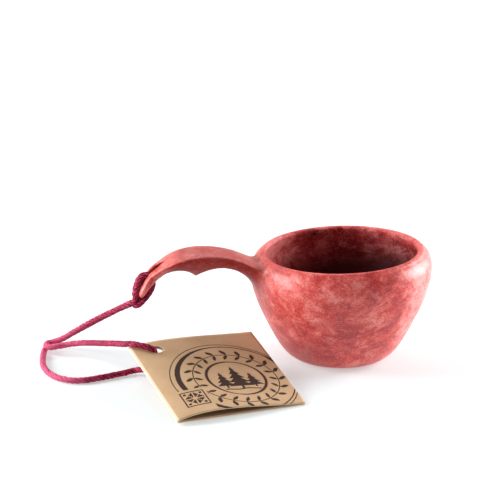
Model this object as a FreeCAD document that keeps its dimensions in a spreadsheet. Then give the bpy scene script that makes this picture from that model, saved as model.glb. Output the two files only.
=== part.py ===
"""A kuksa: a one-piece moulded cup with an arched, slotted handle, the doubled cord hitched to its tip, and the
folded card tag on the cord.

Millimetres, +Z up. The origin is the centre of the cup's flat base, and the handle points along -X.
The cord lies on the surface that the cup stands on, z = 0, and one back corner of the tag leans on its knot.
"""

import FreeCAD, Part

import math
import os

from FreeCAD import Placement, Rotation, Vector

DIMENSIONS = {
    # bowl
    "RimHeight": 56.4,
    "BaseRadius": 21.5,
    "BellyRadius": 46.6,
    "LipOuterRadius": 42.7,
    "LipInnerRadius": 38.8,
    "LipDrop": 1.3,
    "WallThickness": 4.4,
    "FloorThickness": 5.5,
    # handle
    "CrownDrop": 1.3,
    "FirstScallopRadius": 17.5,
    "FirstScallopReach": 62.7,
    "FirstScallopTop": 52.2,
    "SecondScallopRadius": 11.5,
    "SecondScallopReach": 84.2,
    "SecondScallopTop": 52.0,
    "SlotWidth": 4.6,
    "SlotLength": 17.0,
    "SlotReach": 90.4,
    "SlotStartHeight": 55.9,
    "TipSlope": 48.0,
    # cord
    "CordDiameter": 2.8,
    "HitchWidth": 4.1,
    "HitchThickness": 2.5,
    "CollarRadius": 2.6,
    "CollarLength": 6.8,
    "KnotRadius": 5.0,
    "KnotHeight": 15.4,
    "TailLength": 9.0,
    # folded tag
    "TagSide": 66.0,
    "LeafThickness": 0.35,
    "LeafGap": 0.05,
    "CoverLift": 3.4,
    "CoverLiftBack": 2.0,
    "HoleRadius": 3.0,
    "HoleFromFold": 11.6,
    "HoleFromNearEdge": 58.2,
    "TagTurn": 12.2,
    "TagTilt": 14.4,
    "TagRoll": 0.9,
    "TagCornerX": -98.6,
    "TagCornerY": -82.6,
    "TagCornerZ": 2.3,
}

# The bowl's two outlines between base and lip, as (share of the widest radius, share of the rim's height).
OUTSIDE_SHARES = [(0.588, 0.055), (0.705, 0.18), (0.846, 0.40), (0.972, 0.66), (1.0, 0.80), (0.99, 0.89), (0.955, 0.95)]
INSIDE_SHARES = [(0.50, 0.135), (0.76, 0.27), (0.92, 0.48), (0.995, 0.70), (0.99, 0.83)]

# The handle's cross-sections, from inside the bowl's wall out to the tip. Each is
# (top: reach from the bowl's axis, height), (keel: reach, height), half the top's width, half the keel's width.
HANDLE_SECTIONS = [
    ((42.0, 53.2), (42.0, 37.5), 14.2, 4.0),
    ((46.5, 54.8), (46.5, 40.0), 12.9, 2.8),
    ((52.5, 57.2), (53.0, 43.2), 11.8, 2.0),
    ((60.5, 59.6), (60.5, 45.6), 11.0, 1.8),
    ((70.0, 60.8), (70.0, 46.4), 11.2, 1.8),
    ((79.0, 60.2), (78.5, 46.8), 11.0, 1.8),
    ((86.5, 58.1), (84.5, 47.6), 10.1, 2.0),
    ((92.5, 55.0), (90.3, 48.4), 8.2, 3.0),
    ((97.0, 52.1), (94.4, 46.6), 6.8, 4.0),
    ((100.4, 48.5), (97.2, 43.9), 6.2, 4.4),
    ((102.8, 44.0), (99.6, 40.9), 5.8, 4.4),
    ((104.2, 40.6), (101.1, 38.8), 5.0, 3.8),
    ((104.1, 38.8), (102.3, 37.8), 3.6, 2.6),
]

# The hitch's band, (reach, height): up the outside of the tip, in at the slot, out below it and back.
HITCH_ROUTE = [
    (104.9, 35.1), (106.4, 38.8), (105.8, 42.4), (104.6, 45.9), (102.8, 48.8), (100.3, 50.1),
    (98.0, 49.6), (96.2, 47.2), (95.8, 43.6), (97.0, 40.0), (99.6, 37.0), (104.9, 35.1),
]

# The strand that comes back over the tag's corner and goes down through its hole.
UPPER_ROUTE = [
    (-105.6, -1.7, 35.2), (-110.0, 2.6, 32.6), (-115.0, 9.4, 28.0), (-120.4, 17.6, 21.9), (-126.6, 25.6, 15.0),
    (-132.6, 31.6, 10.0), (-138.2, 35.6, 6.8), (-143.2, 37.9, 5.2), (-147.2, 37.7, 4.7), (-149.6, 34.4, 4.5),
    (-147.4, 30.9, 4.4), (-142.4, 29.6, 4.3), (-137.0, 28.4, 5.0), (-131.6, 23.6, 6.8), (-126.2, 15.4, 9.6),
    (-121.2, 4.6, 13.2), (-117.0, -6.6, 17.2), (-114.2, -15.6, 20.8), (-111.4, -22.0, 22.6),
    (-107.2, -25.6, 22.6), (-102.6, -26.8, 21.8), (-99.5, -26.0, 19.8), (-98.9, -24.9, 16.4), (-99.2, -24.0, 12.8),
    (-99.2, -23.2, 9.6),
]

# The strand that runs round on the surface and in under the tag.
LOWER_ROUTE = [
    (-105.2, 1.8, 34.0), (-109.1, 6.2, 31.5), (-114.0, 13.3, 26.8), (-119.4, 21.5, 20.7), (-125.7, 29.1, 13.9),
    (-131.7, 35.1, 8.6), (-137.0, 39.2, 4.8), (-142.2, 41.2, 2.3), (-146.8, 38.6, 1.6), (-149.2, 31.8, 1.6),
    (-150.8, 22.6, 1.6), (-152.1, 13.2, 1.6), (-151.9, 4.8, 1.6), (-150.0, -3.2, 1.6), (-146.4, -10.2, 1.6),
    (-141.1, -14.8, 1.6), (-134.9, -16.5, 1.6), (-128.0, -15.5, 1.6), (-120.8, -12.2, 1.6), (-113.6, -10.0, 1.7),
    (-107.4, -11.4, 2.6), (-103.2, -15.6, 4.2), (-100.2, -19.8, 5.6),
]

SHARPEST_TURN = 90.0
SLOT_DEPTH = 20.0
CUT_THROUGH = 60.0  # long enough for a cutter to pass clean through what it cuts
LIFT_PEAK = 0.31  # where the cover stands highest, as a share of the way from its fold to its free edge
LIFT_RISE, LIFT_FALL = 0.75, 1.67


def make_sheet(doc):
    """The spreadsheet of driving dimensions, one alias a cell."""
    sheet = doc.addObject("Spreadsheet::Sheet", "Dimensions")
    for row, (name, value) in enumerate(DIMENSIONS.items(), start=1):
        sheet.set("A%d" % row, name)
        sheet.set("B%d" % row, str(value))
        sheet.setAlias("B%d" % row, name)
    doc.recompute()
    return sheet


def cell(sheet, name):
    return float(sheet.get(name))


def at(reach, height, across=0.0):
    """A point given by its reach along the handle, its height and how far across it is."""
    return Vector(-reach, across, height)


def spline_through(points, start=None, end=None):
    curve = Part.BSplineCurve()
    if start and end:
        curve.interpolate(Points=points, InitialTangent=start, FinalTangent=end)
    else:
        curve.interpolate(Points=points)
    return curve.toShape()


def wire_feature(doc, name, shape):
    """A wire or face that another feature of the document is made from."""
    feature = doc.addObject("Part::Feature", name)
    feature.Shape = shape
    return feature


def bowl_profile(sheet):
    """The outer outline of the bowl, turned into a face with the axis as its fourth side."""
    rim, base, belly = cell(sheet, "RimHeight"), cell(sheet, "BaseRadius"), cell(sheet, "BellyRadius")
    lip_out, lip_in = cell(sheet, "LipOuterRadius"), cell(sheet, "LipInnerRadius")
    lip_edge = rim - cell(sheet, "LipDrop")
    side = [Vector(belly * r, 0, rim * h) for r, h in OUTSIDE_SHARES]
    outside = spline_through([Vector(base, 0, 0)] + side + [Vector(lip_out, 0, lip_edge)])
    lip = Part.Arc(
        Vector(lip_out, 0, lip_edge),
        Vector((lip_out + lip_in) / 2, 0, rim),
        Vector(lip_in, 0, lip_edge),
    ).toShape()
    across = Part.LineSegment(Vector(lip_in, 0, lip_edge), Vector(0, 0, lip_edge)).toShape()
    axis = Part.LineSegment(Vector(0, 0, lip_edge), Vector(0, 0, 0)).toShape()
    bottom = Part.LineSegment(Vector(0, 0, 0), Vector(base, 0, 0)).toShape()
    return Part.Face(Part.Wire([outside, lip, across, axis, bottom]))


def cavity_profile(sheet):
    """The inside of the bowl, carried a little above the rim so that it cuts clean through."""
    rim, floor = cell(sheet, "RimHeight"), cell(sheet, "FloorThickness")
    widest = cell(sheet, "BellyRadius") - cell(sheet, "WallThickness")
    lip_in = cell(sheet, "LipInnerRadius")
    lip_edge = rim - cell(sheet, "LipDrop")
    above = rim + 4.0
    side = [Vector(widest * r, 0, rim * h) for r, h in INSIDE_SHARES]
    inside = spline_through(
        [Vector(0, 0, floor)] + side + [Vector(lip_in, 0, lip_edge)], Vector(1, 0, 0), Vector(-0.4, 0, 1)
    )
    up = Part.LineSegment(Vector(lip_in, 0, lip_edge), Vector(lip_in, 0, above)).toShape()
    across = Part.LineSegment(Vector(lip_in, 0, above), Vector(0, 0, above)).toShape()
    axis = Part.LineSegment(Vector(0, 0, above), Vector(0, 0, floor)).toShape()
    return Part.Face(Part.Wire([inside, up, across, axis]))


def revolved(doc, name, face):
    """A full turn of the face about the cup's axis."""
    source = wire_feature(doc, name + "Profile", face)
    turn = doc.addObject("Part::Revolution", name)
    turn.Source = source
    turn.Axis = Vector(0, 0, 1)
    turn.Base = Vector(0, 0, 0)
    turn.Angle = 360.0
    turn.Solid = True
    return turn


def handle_section(top, keel, half_top, half_keel, drop):
    """One closed section: a crowned top, two sides that swell a little on their way in, and a round keel."""
    up = (at(*top) - at(*keel)).normalize()
    height = (at(*top) - at(*keel)).Length
    side = Vector(0, 1, 0)

    def place(across, rise):
        return at(*keel) + side * across + up * rise

    shoulder = height - drop
    keel_rise = min(0.8, 0.12 * height)
    middle = 0.5 * (half_top + half_keel) + 0.09 * shoulder
    right_top, left_top = place(half_top, shoulder), place(-half_top, shoulder)
    right_keel, left_keel = place(half_keel, keel_rise), place(-half_keel, keel_rise)
    edges = [
        Part.Arc(left_top, place(0, height), right_top).toShape(),
        Part.Arc(right_top, place(middle, 0.5 * (shoulder + keel_rise)), right_keel).toShape(),
        Part.Arc(right_keel, place(0, 0), left_keel).toShape(),
        Part.Arc(left_keel, place(-middle, 0.5 * (shoulder + keel_rise)), left_top).toShape(),
    ]
    return Part.Wire(edges)


def slot_outline(sheet):
    """The slot seen square to the tip: a point at its inner end, straight sides, and a round outer end."""
    half, length = cell(sheet, "SlotWidth") / 2, cell(sheet, "SlotLength")
    straight = 0.3 * length
    start, end = Vector(0, 0, 0), length - half
    left, right = Vector(straight, half, 0), Vector(straight, -half, 0)
    far_left, far_right = Vector(end, half, 0), Vector(end, -half, 0)
    return Part.Wire(
        [
            Part.Arc(start, Vector(0.45 * straight, 0.62 * half, 0), left).toShape(),
            Part.LineSegment(left, far_left).toShape(),
            Part.Arc(far_left, Vector(length, 0, 0), far_right).toShape(),
            Part.LineSegment(far_right, right).toShape(),
            Part.Arc(right, Vector(0.45 * straight, -0.62 * half, 0), start).toShape(),
        ]
    )


def slot_cutter(doc, sheet):
    """The slot's prism, square to the sloping tip."""
    outline = Part.Face(slot_outline(sheet))
    cutter = doc.addObject("Part::Feature", "SlotCutter")
    cutter.Shape = outline.extrude(Vector(0, 0, SLOT_DEPTH))
    # the outline's x runs down the tip's slope, away from the bowl
    slope = Rotation(Vector(0, 1, 0), 180.0 - cell(sheet, "TipSlope"))
    start = at(cell(sheet, "SlotReach"), cell(sheet, "SlotStartHeight"))
    half_way = Placement(Vector(0, 0, -SLOT_DEPTH / 2), Rotation())
    cutter.Placement = Placement(start, slope).multiply(half_way)
    return cutter


def scallop(doc, name):
    """A cylinder across the handle that hollows its underside for one finger."""
    cylinder = doc.addObject("Part::Cylinder", name)
    cylinder.setExpression("Radius", "Dimensions.%sRadius" % name)
    cylinder.Height = CUT_THROUGH
    cylinder.setExpression("Placement.Base.x", "-Dimensions.%sReach" % name)
    cylinder.setExpression("Placement.Base.z", "Dimensions.%sTop - Dimensions.%sRadius" % (name, name))
    cylinder.Placement = Placement(Vector(0, CUT_THROUGH / 2, 0), Rotation(Vector(1, 0, 0), 90))
    return cylinder


def make_cup(doc, sheet):
    """The whole moulding: bowl and handle in one solid."""
    bowl = revolved(doc, "Bowl", bowl_profile(sheet))
    cavity = revolved(doc, "Cavity", cavity_profile(sheet))
    drop = cell(sheet, "CrownDrop")
    sections = []
    for index, (top, keel, half_top, half_keel) in enumerate(HANDLE_SECTIONS):
        wire = handle_section(top, keel, half_top, half_keel, drop)
        sections.append(wire_feature(doc, "HandleSection%02d" % index, wire))
    loft = doc.addObject("Part::Loft", "HandleLoft")
    loft.Sections = sections
    loft.Solid = True
    scallops = doc.addObject("Part::MultiFuse", "Scallops")
    scallops.Shapes = [scallop(doc, "FirstScallop"), scallop(doc, "SecondScallop")]
    grip = doc.addObject("Part::Cut", "Grip")
    grip.Base = loft
    grip.Tool = scallops
    slotted = doc.addObject("Part::Cut", "SlottedGrip")
    slotted.Base = grip
    slotted.Tool = slot_cutter(doc, sheet)
    body = doc.addObject("Part::MultiFuse", "BowlAndGrip")
    body.Shapes = [bowl, slotted]
    cup = doc.addObject("Part::Cut", "Cup")
    cup.Base = body
    cup.Tool = cavity
    cup.Label = "cup"
    return cup


def rounded_path(points, name):
    """Straight runs joined by tangent arcs, each as large as its two runs allow."""
    edges, radii = [], []
    here = points[0]
    for before, corner, after in zip(points, points[1:], points[2:]):
        arriving, leaving = corner - before, after - corner
        short = min(arriving.Length, leaving.Length)
        turn = arriving.getAngle(leaving)
        if math.degrees(turn) > SHARPEST_TURN:
            print("%s turns %.0f degrees at one point" % (name, math.degrees(turn)))
        setback = 0.45 * short
        radii.append(setback / math.tan(turn / 2))
        first = corner - arriving.normalize() * setback
        last = corner + leaving.normalize() * setback
        chord_middle = (first + last) * 0.5
        inward = (chord_middle - corner).normalize()
        to_centre = radii[-1] / math.cos(turn / 2)
        middle = corner + inward * (to_centre - radii[-1])
        edges.append(Part.LineSegment(here, first).toShape())
        edges.append(Part.Arc(first, middle, last).toShape())
        here = last
    edges.append(Part.LineSegment(here, points[-1]).toShape())
    print("%s radii: %s" % (name, " ".join("%.1f" % r for r in radii)))
    return Part.Wire(edges)


def cord_tube(doc, sheet, name, route):
    """A plain tube of the cord's diameter along its route."""
    radius = cell(sheet, "CordDiameter") / 2
    points = [Vector(*p) for p in route]
    path = rounded_path(points, name)
    section = Part.Wire(Part.makeCircle(radius, points[0], points[1] - points[0]))
    tube = path.makePipeShell([section], True, False)
    expected = math.pi * radius**2 * path.Length
    print("%s length %.1f, volume %.1f of %.1f" % (name, path.Length, tube.Volume, expected))
    feature = doc.addObject("Part::Feature", name)
    feature.Shape = tube
    feature.Label = name
    return feature


def make_hitch(doc, sheet):
    """The doubled cord's band through the slot and round the tip, and the collar that holds it below."""
    width, thickness = cell(sheet, "HitchWidth"), cell(sheet, "HitchThickness")
    path = rounded_path([at(*p) for p in HITCH_ROUTE], "cord_hitch")
    start = at(*HITCH_ROUTE[0])
    along = (at(*HITCH_ROUTE[1]) - start).normalize()
    across = Vector(0, 1, 0)
    out = along.cross(across)
    corners = [
        start + across * (a * width / 2) + out * (b * thickness / 2) for a, b in ((-1, -1), (1, -1), (1, 1), (-1, 1))
    ]
    section = Part.makePolygon(corners + corners[:1])
    band = path.makePipeShell([section], True, True)
    reach, height = HITCH_ROUTE[0]
    length = cell(sheet, "CollarLength")
    collar = Part.makeCylinder(
        cell(sheet, "CollarRadius"), length, at(reach, height, -length / 2), Vector(0, 1, 0)
    )
    feature = doc.addObject("Part::Feature", "Hitch")
    feature.Shape = band.fuse(collar).removeSplitter()
    feature.Label = "cord_hitch"
    return feature


def make_knot(doc, sheet):
    """The knot that ties the two strands together under the tag, with its two short tails."""
    radius, height = cell(sheet, "KnotRadius"), cell(sheet, "KnotHeight")
    thread = cell(sheet, "CordDiameter") / 2
    x, y, _ = UPPER_ROUTE[-1]
    clearance = 0.1
    centre = Vector(x, y + 0.6, height / 2 + clearance)
    ball = Part.makeSphere(radius)
    stretch = FreeCAD.Matrix()
    stretch.scale(1.0, 1.0, height / (2 * radius))
    ball = ball.transformGeometry(stretch)
    ball.translate(centre)
    shape = ball
    for heading in (-35.0, 15.0):
        way = Vector(math.cos(math.radians(heading)), math.sin(math.radians(heading)), 0)
        root = Vector(centre.x, centre.y, thread + clearance) + way * 2.0
        shape = shape.fuse(Part.makeCylinder(thread, cell(sheet, "TailLength"), root, way))
    feature = doc.addObject("Part::Feature", "EndKnot")
    feature.Shape = shape.removeSplitter()
    feature.Label = "cord_end_knot"
    return feature


def cover_lift(share):
    """How far the cover stands off the leaf below, from 0 at the fold to 0 at the free edge, most near the fold."""
    return (share / LIFT_PEAK) ** LIFT_RISE * ((1 - share) / (1 - LIFT_PEAK)) ** LIFT_FALL


def leaf_section(sheet, along, lift, low):
    """The closed outline of a leaf's thickness, at one distance along the fold."""
    side, thick = cell(sheet, "TagSide"), cell(sheet, "LeafThickness")
    shares = (0.0, 0.06, 0.15, 0.31, 0.5, 0.7, 0.87, 1.0)

    def skin(level):
        return [Vector(side * s, along, level + lift * cover_lift(s)) for s in shares]

    bottom, top = skin(low), skin(low + thick)
    return Part.Wire(
        [
            spline_through(bottom),
            Part.LineSegment(bottom[-1], top[-1]).toShape(),
            spline_through(top[::-1]),
            Part.LineSegment(top[0], bottom[0]).toShape(),
        ]
    )


def tag_placement(sheet):
    """The tag's own x runs from the fold to the free edge, its y from the near edge to the back one."""
    turn = Rotation(Vector(0, 0, 1), cell(sheet, "TagTurn"))
    roll = Rotation(Vector(0, 1, 0), cell(sheet, "TagRoll"))
    tilt = Rotation(Vector(1, 0, 0), cell(sheet, "TagTilt"))
    corner = Vector(cell(sheet, "TagCornerX"), cell(sheet, "TagCornerY"), cell(sheet, "TagCornerZ"))
    return Placement(corner, turn.multiply(roll).multiply(tilt))


def hole_cutter(sheet):
    return Part.makeCylinder(
        cell(sheet, "HoleRadius"),
        CUT_THROUGH,
        Vector(cell(sheet, "HoleFromFold"), cell(sheet, "HoleFromNearEdge"), -CUT_THROUGH / 2),
    )


def make_cover(doc, sheet):
    """The cover leaf, bowed up between its fold and its free edge, more at the near side than at the back."""
    side, thick = cell(sheet, "TagSide"), cell(sheet, "LeafThickness")
    near = leaf_section(sheet, 0.0, cell(sheet, "CoverLift"), -thick)
    back = leaf_section(sheet, side, cell(sheet, "CoverLiftBack"), -thick)
    leaf = Part.makeLoft([near, back], True, True)
    feature = doc.addObject("Part::Feature", "CoverLeaf")
    feature.Shape = leaf.cut(hole_cutter(sheet))
    feature.Placement = tag_placement(sheet)
    feature.Label = "tag_cover_leaf"
    return feature


def make_flat_leaf(doc, sheet, name, label, layer, inset):
    """A flat leaf: the inner one is cut a little narrower, so that it stays clear of the fold."""
    side, thick = cell(sheet, "TagSide"), cell(sheet, "LeafThickness")
    level = -thick - layer * (thick + cell(sheet, "LeafGap"))
    plate = doc.addObject("Part::Box", name + "Plate")
    plate.setExpression("Length", "Dimensions.TagSide - %g" % (2 * inset))
    plate.setExpression("Width", "Dimensions.TagSide - %g" % inset)
    plate.setExpression("Height", "Dimensions.LeafThickness")
    plate.Placement = Placement(Vector(inset, inset / 2, level), Rotation())
    hole = doc.addObject("Part::Cylinder", name + "Hole")
    hole.setExpression("Radius", "Dimensions.HoleRadius")
    hole.Height = CUT_THROUGH
    hole.setExpression("Placement.Base.x", "Dimensions.HoleFromFold")
    hole.setExpression("Placement.Base.y", "Dimensions.HoleFromNearEdge")
    hole.setExpression("Placement.Base.z", "%g" % (-CUT_THROUGH / 2))
    leaf = doc.addObject("Part::Cut", name)
    leaf.Base = plate
    leaf.Tool = hole
    leaf.Placement = tag_placement(sheet)
    leaf.Label = label
    return leaf


def check_and_export(doc, nodes):
    """Stops on any failed object or bad shape, then writes each piece to its own file."""
    for item in doc.Objects:
        if {"Invalid", "Error"} & set(item.State):
            raise RuntimeError("%s failed to build" % item.Name)
    for node in nodes:
        if node.Shape.isNull() or not node.Shape.isValid():
            raise RuntimeError("%s has no valid shape" % node.Label)
        box = node.Shape.BoundBox
        print(
            "%s: %d solid, volume %.0f, z %.2f to %.2f" % (
                node.Label, len(node.Shape.Solids), node.Shape.Volume, box.ZMin, box.ZMax
            )
        )
    os.makedirs("parts", exist_ok=True)
    for node in nodes:
        node.Shape.exportStep("parts/%s.step" % node.Label)


def main():
    doc = FreeCAD.newDocument("Kuksa")
    sheet = make_sheet(doc)
    nodes = [
        make_cup(doc, sheet),
        make_hitch(doc, sheet),
        cord_tube(doc, sheet, "cord_upper_strand", UPPER_ROUTE),
        cord_tube(doc, sheet, "cord_lower_strand", LOWER_ROUTE),
        make_knot(doc, sheet),
        make_cover(doc, sheet),
        make_flat_leaf(doc, sheet, "InnerLeaf", "tag_inner_leaf", 1, 1.0),
        make_flat_leaf(doc, sheet, "BackLeaf", "tag_back_leaf", 2, 0.0),
    ]
    doc.recompute()
    check_and_export(doc, nodes)


main()
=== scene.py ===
"""Looks of the kuksa: the marbled moulding, its twisted cord and the folded card tag.

Metres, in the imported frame: the cup's base is centred on the origin and the handle points along -X.
Routes and tag sizes are written in millimetres, as in the part's source, and scaled by MM.
"""

import math

import bmesh
import bpy
import numpy as np
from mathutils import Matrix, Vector


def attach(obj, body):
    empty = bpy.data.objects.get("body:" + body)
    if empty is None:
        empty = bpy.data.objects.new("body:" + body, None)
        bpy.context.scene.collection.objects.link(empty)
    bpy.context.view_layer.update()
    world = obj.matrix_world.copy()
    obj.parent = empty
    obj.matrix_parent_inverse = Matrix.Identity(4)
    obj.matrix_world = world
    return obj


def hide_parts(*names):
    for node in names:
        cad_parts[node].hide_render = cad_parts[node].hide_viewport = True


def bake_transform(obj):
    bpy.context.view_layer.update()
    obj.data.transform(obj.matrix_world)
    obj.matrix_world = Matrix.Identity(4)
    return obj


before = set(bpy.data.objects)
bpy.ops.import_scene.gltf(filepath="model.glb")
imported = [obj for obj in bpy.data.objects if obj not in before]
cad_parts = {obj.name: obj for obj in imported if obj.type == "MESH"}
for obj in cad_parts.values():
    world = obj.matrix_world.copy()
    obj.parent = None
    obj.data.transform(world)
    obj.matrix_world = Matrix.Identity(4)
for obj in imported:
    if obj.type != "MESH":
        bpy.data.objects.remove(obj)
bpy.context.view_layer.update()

MM = 0.001


def linked(name, data):
    """A new object of the data, in the scene."""
    obj = bpy.data.objects.new(name, data)
    bpy.context.scene.collection.objects.link(obj)
    return obj



# ---------------------------------------------------------------- shader building


def linear(red, green, blue):
    """A display colour of 0 to 255 as the shaders' linear one."""

    def one(value):
        value /= 255.0
        return value / 12.92 if value <= 0.04045 else ((value + 0.055) / 1.055) ** 2.4

    return (one(red), one(green), one(blue), 1.0)


class Graph:
    """Short calls for shader nodes: each takes sockets or numbers, and gives the new node's output socket."""

    def __init__(self, name):
        self.material = bpy.data.materials.new(name)
        self.material.use_nodes = True
        self.tree = self.material.node_tree
        self.shader = self.tree.nodes["Principled BSDF"]

    def feed(self, socket, value):
        if isinstance(value, bpy.types.NodeSocket):
            self.tree.links.new(value, socket)
        elif value is not None:
            socket.default_value = value

    def set(self, **values):
        for name, value in values.items():
            self.feed(self.shader.inputs[name.replace("_", " ")], value)

    def math(self, operation, *values):
        node = self.tree.nodes.new("ShaderNodeMath")
        node.operation = operation
        for socket, value in zip(node.inputs, values):
            self.feed(socket, value)
        return node.outputs[0]

    def sub(self, a, b):
        return self.math("SUBTRACT", a, b)

    def add(self, a, b):
        return self.math("ADD", a, b)

    def mul(self, a, b):
        return self.math("MULTIPLY", a, b)

    def absolute(self, a):
        return self.math("ABSOLUTE", a)

    def least(self, a, b):
        return self.math("MINIMUM", a, b)

    def most(self, a, b):
        return self.math("MAXIMUM", a, b)

    def step(self, value, low, high, to_low=0.0, to_high=1.0):
        """value eased from low to high onto to_low to to_high."""
        node = self.tree.nodes.new("ShaderNodeMapRange")
        node.interpolation_type = "SMOOTHSTEP"
        for socket, number in zip(node.inputs, (value, low, high, to_low, to_high)):
            self.feed(socket, number)
        return node.outputs[0]

    def band(self, value, rise, fall):
        """1 between two eased edges: it rises from rise[0] to rise[1] and falls from fall[0] to fall[1]."""
        return self.mul(self.step(value, *rise), self.step(value, fall[1], fall[0]))

    def coordinates(self):
        return self.tree.nodes.new("ShaderNodeTexCoord").outputs["Object"]

    def uv(self, name):
        node = self.tree.nodes.new("ShaderNodeUVMap")
        node.uv_map = name
        return node.outputs[0]

    def attribute(self, name):
        node = self.tree.nodes.new("ShaderNodeAttribute")
        node.attribute_name = name
        return node.outputs["Fac"]

    def parts(self, vector):
        node = self.tree.nodes.new("ShaderNodeSeparateXYZ")
        self.feed(node.inputs[0], vector)
        return node.outputs[0], node.outputs[1], node.outputs[2]

    def joined(self, x, y, z=0.0):
        node = self.tree.nodes.new("ShaderNodeCombineXYZ")
        for socket, value in zip(node.inputs, (x, y, z)):
            self.feed(socket, value)
        return node.outputs[0]

    def placed(self, vector, scale, turn=0.0):
        """vector scaled, and turned about Z."""
        node = self.tree.nodes.new("ShaderNodeMapping")
        self.feed(node.inputs["Vector"], vector)
        node.inputs["Scale"].default_value = scale
        node.inputs["Rotation"].default_value = (0.0, 0.0, turn)
        return node.outputs[0]

    def noise(self, vector, scale, detail, rough=0.55, warp=0.0, output="Fac"):
        node = self.tree.nodes.new("ShaderNodeTexNoise")
        values = {"Vector": vector, "Scale": scale, "Detail": detail, "Roughness": rough, "Distortion": warp}
        for name, value in values.items():
            self.feed(node.inputs[name], value)
        return node.outputs[output]

    def cells(self, vector, scale):
        """How far each place is from the nearest of many scattered points."""
        node = self.tree.nodes.new("ShaderNodeTexVoronoi")
        self.feed(node.inputs["Vector"], vector)
        self.feed(node.inputs["Scale"], scale)
        return node.outputs["Distance"]

    def shifted(self, vector, field, amount):
        """vector moved about by a colour field, up to amount each way."""
        centred = self.tree.nodes.new("ShaderNodeVectorMath")
        centred.operation = "SUBTRACT"
        self.feed(centred.inputs[0], field)
        centred.inputs[1].default_value = (0.5, 0.5, 0.5)
        moved = self.tree.nodes.new("ShaderNodeVectorMath")
        moved.operation = "MULTIPLY_ADD"
        self.feed(moved.inputs[0], centred.outputs[0])
        moved.inputs[1].default_value = (2 * amount,) * 3
        self.feed(moved.inputs[2], vector)
        return moved.outputs[0]

    def ramp(self, value, stops):
        """value's colour, between stops of a place from 0 to 1 and a display colour."""
        node = self.tree.nodes.new("ShaderNodeValToRGB")
        self.feed(node.inputs[0], value)
        ramp = node.color_ramp
        while len(ramp.elements) < len(stops):
            ramp.elements.new(0.5)
        for element, (place, display) in zip(ramp.elements, stops):
            element.position = place
            element.color = linear(*display)
        return node.outputs[0]

    def mix(self, share, a, b):
        node = self.tree.nodes.new("ShaderNodeMix")
        node.data_type = "RGBA"
        factor, first, second = node.inputs[0], node.inputs[6], node.inputs[7]
        self.feed(factor, share)
        self.feed(first, a)
        self.feed(second, b)
        return node.outputs[2]

    def tinted(self, colour, mask, share, display):
        """colour, with up to share of a display colour mixed in where mask is 1."""
        return self.mix(self.mul(mask, share), colour, linear(*display))

    def bump(self, height, distance, strength, under=None):
        node = self.tree.nodes.new("ShaderNodeBump")
        node.inputs["Strength"].default_value = strength
        node.inputs["Distance"].default_value = distance
        self.feed(node.inputs["Height"], height)
        self.feed(node.inputs["Normal"], under)
        return node.outputs[0]


# ---------------------------------------------------------------- camera, light and floor

LENS = 147.4
SENSOR = 36.0
CAMERA_PLACE = (-0.2559, -0.9667, 0.350)
CAMERA_TILT, CAMERA_TURN = 73.6, -12.22  # degrees: up from straight down, and round to the right

LIT_PLACE = (-0.03, 0.0, 0.03)
SOFTBOXES = (  # name, place, width and height, power
    ("softbox_left", (-0.78, 0.18, 0.34), (0.5, 0.6), 11.5),
    ("softbox_right", (0.80, 0.10, 0.28), (0.5, 0.6), 13.5),
    ("softbox_strip", (0.62, 0.58, 0.25), (0.12, 0.5), 0.7),
    ("softbox_back", (0.05, 0.75, 0.85), (1.1, 0.5), 3.0),
    ("softbox_front", (-0.30, -1.10, 0.95), (0.9, 0.5), 0.5),
)
SURROUNDINGS = 0.22  # strength of the even light from all round

FLOOR_HALF = 6.0
FLOOR_DROP = 0.00005  # keeps the floor clear of the faces that stand on it


def add_camera():
    data = bpy.data.cameras.new("camera")
    data.lens = LENS
    data.sensor_width = SENSOR
    camera = linked("camera", data)
    camera.location = CAMERA_PLACE
    camera.rotation_euler = (math.radians(CAMERA_TILT), 0.0, math.radians(CAMERA_TURN))
    bpy.context.scene.camera = camera


def add_softbox(name, place, size, power):
    data = bpy.data.lights.new(name, "AREA")
    data.shape = "RECTANGLE"
    data.size, data.size_y = size
    data.energy = power
    lamp = linked(name, data)
    lamp.location = place
    lamp.rotation_euler = (Vector(LIT_PLACE) - Vector(place)).to_track_quat("-Z", "Y").to_euler()


def floor_material():
    """White paper that glows more farther off, so that it stays white where the lamps don't reach."""
    g = Graph("floor_paper")
    x, y, _ = g.parts(g.coordinates())
    far = g.math("SQRT", g.add(g.mul(x, x), g.mul(y, y)))
    g.set(
        Base_Color=(0.51, 0.57, 0.58, 1.0),
        Roughness=0.7,
        Specular_IOR_Level=0.2,
        Emission_Color=(1.0, 1.0, 1.0, 1.0),
        Emission_Strength=g.step(far, 0.4, 1.6, 0.40, 1.0),
    )
    return g.material


def add_floor():
    mesh = bpy.data.meshes.new("floor")
    corners = ((-1, -1), (1, -1), (1, 1), (-1, 1))
    mesh.from_pydata([(x * FLOOR_HALF, y * FLOOR_HALF, -FLOOR_DROP) for x, y in corners], [], [(0, 1, 2, 3)])
    mesh.materials.append(floor_material())
    floor = linked("floor", mesh)


def add_studio():
    for softbox in SOFTBOXES:
        add_softbox(*softbox)
    world = bpy.data.worlds.new("studio")
    bpy.context.scene.world = world
    world.use_nodes = True
    background = world.node_tree.nodes["Background"]
    background.inputs["Color"].default_value = (1.0, 1.0, 1.0, 1.0)
    background.inputs["Strength"].default_value = SURROUNDINGS
    bpy.context.scene.view_settings.view_transform = "Standard"
    add_floor()


add_camera()
add_studio()

# ---------------------------------------------------------------- the moulding's and the cord's materials

# Where the grip's painted shades come in and go out, along X.
GRIP_TOP = ((-0.034, -0.045), (-0.080, -0.092))
GRIP_SIDES = ((-0.038, -0.050), (-0.086, -0.097))
SLOT_LENGTH = ((-0.0885, -0.0915), (-0.103, -0.106))
SLOT_HALF_WIDTH = (0.0027, 0.0022)


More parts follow.
